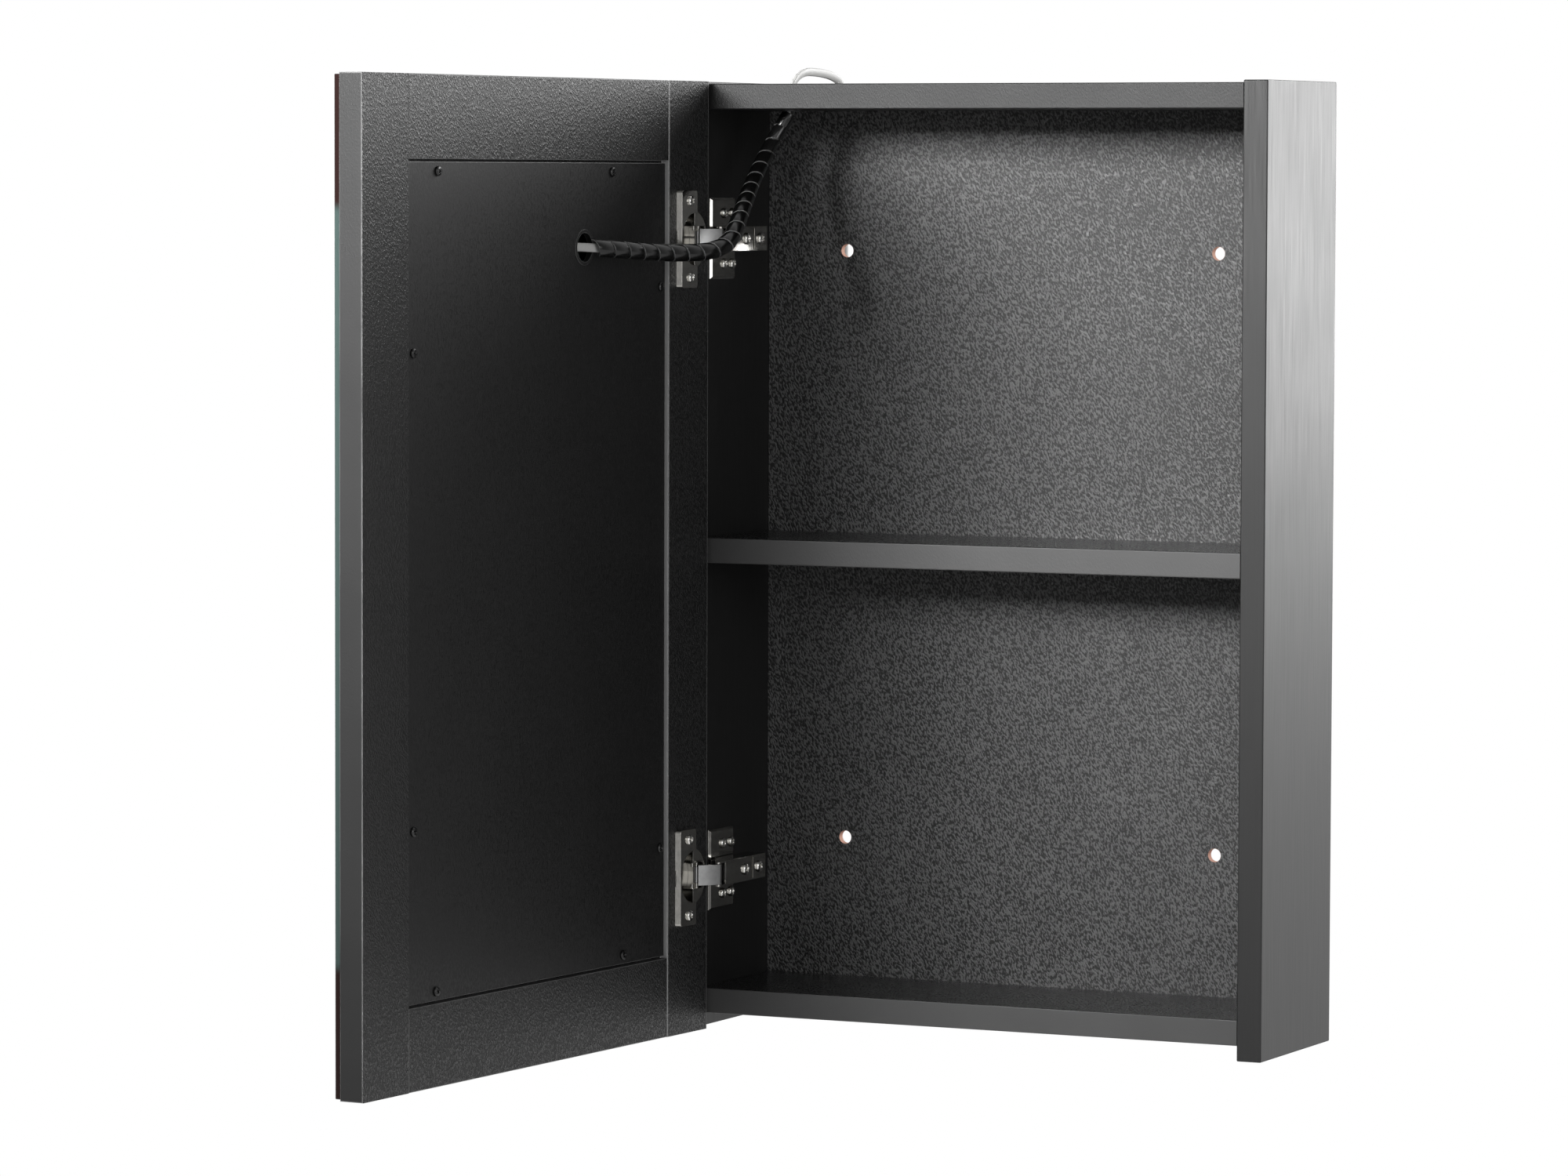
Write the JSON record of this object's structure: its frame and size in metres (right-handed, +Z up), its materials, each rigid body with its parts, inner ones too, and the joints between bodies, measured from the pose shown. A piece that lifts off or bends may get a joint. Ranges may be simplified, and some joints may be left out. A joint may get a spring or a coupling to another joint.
{
  "type": "bathroom mirror cabinet",
  "caption": "Wall-hung black cabinet with one shelf and a lit mirror door on concealed cup hinges, its lead in a spiral wrap from the door plate to the top.",
  "frame": {"origin": "centre of the wall holes on the rear face of the back panel", "axes": "+X right as seen from the front, +Y back to the wall, +Z up"},
  "size_m": [0.4232, 0.5205, 0.6106],
  "materials": {
    "black_paint": "satin black paint on fibreboard, fine orange peel",
    "beech": "plain beech",
    "nickel": "bright nickel plate on pressed steel",
    "zinc_steel": "zinc-plated steel",
    "black_zinc": "black zinc-plated steel",
    "zinc_cast": "die-cast zinc",
    "black_plastic": "moulded black plastic",
    "black_wrap": "glossy black polyethylene band",
    "mirror": "silvered float glass, polished greenish edge",
    "light_strip": "white flexible light strip",
    "driver_case": "white plastic case",
    "white_pvc": "white PVC flat lead"
  },
  "bodies": {
    "cabinet": {"side_left": "black_paint", "side_right": "black_paint", "top_board": "black_paint", "shelf": "black_paint", "bottom_board": "black_paint", "back_panel": "black_paint", "back_screws": "zinc_steel", "carcass_dowels": "beech", "cam_discs": "zinc_cast", "cam_bolts": "zinc_steel", "top_gland": "black_plastic", "supply_lead": "white_pvc", "mounting_plate_upper": "nickel", "mounting_plate_lower": "nickel", "hinge_arm_upper": "nickel", "hinge_arm_lower": "nickel", "arm_pins": "nickel", "mount_screws": "nickel", "arm_screws": "nickel"},
    "inner_links": {"inner_link_upper": "nickel", "inner_link_lower": "nickel"},
    "outer_links": {"outer_link_upper": "nickel", "outer_link_lower": "nickel"},
    "door": {"stile_hinge": "black_paint", "stile_free": "black_paint", "rail_top": "black_paint", "rail_bottom": "black_paint", "door_dowels": "beech", "back_plate": "black_paint", "outlet_ring": "black_plastic", "mirror_glass": "mirror", "light_strips": "light_strip", "light_driver": "driver_case", "touch_sensor": "black_plastic", "plate_screws": "black_zinc", "hinge_cup_upper": "nickel", "hinge_cup_lower": "nickel", "cup_screws": "nickel", "cup_pins": "nickel", "cup_stubs": "nickel", "door_lead": "white_pvc", "spiral_wrap": "black_wrap"}
  },
  "joints": [
    {"name": "inner_link_swing", "type": "hinge", "parent": "cabinet", "child": "inner_links", "pos_m": [-0.17169, -0.09998, 0.197], "axis": [0, 0, 1], "range_deg": [-41.24, 0]},
    {"name": "door_swing", "type": "hinge", "parent": "inner_links", "child": "door", "pos_m": [-0.17819, -0.12034, 0.197], "axis": [0, 0, 1], "range_deg": [0, 135.24], "deforming": ["door_lead", "spiral_wrap"]},
    {"name": "outer_link_swing", "type": "hinge", "parent": "cabinet", "child": "outer_links", "pos_m": [-0.16668, -0.11247, 0.197], "axis": [0, 0, 1], "range_deg": [-53.02, 0]}
  ],
  "couplings": [
    {"joint": "inner_link_swing", "follows": "door_swing", "ratio": -0.30496},
    {"joint": "outer_link_swing", "follows": "door_swing", "ratio": -0.39205}
  ]
}
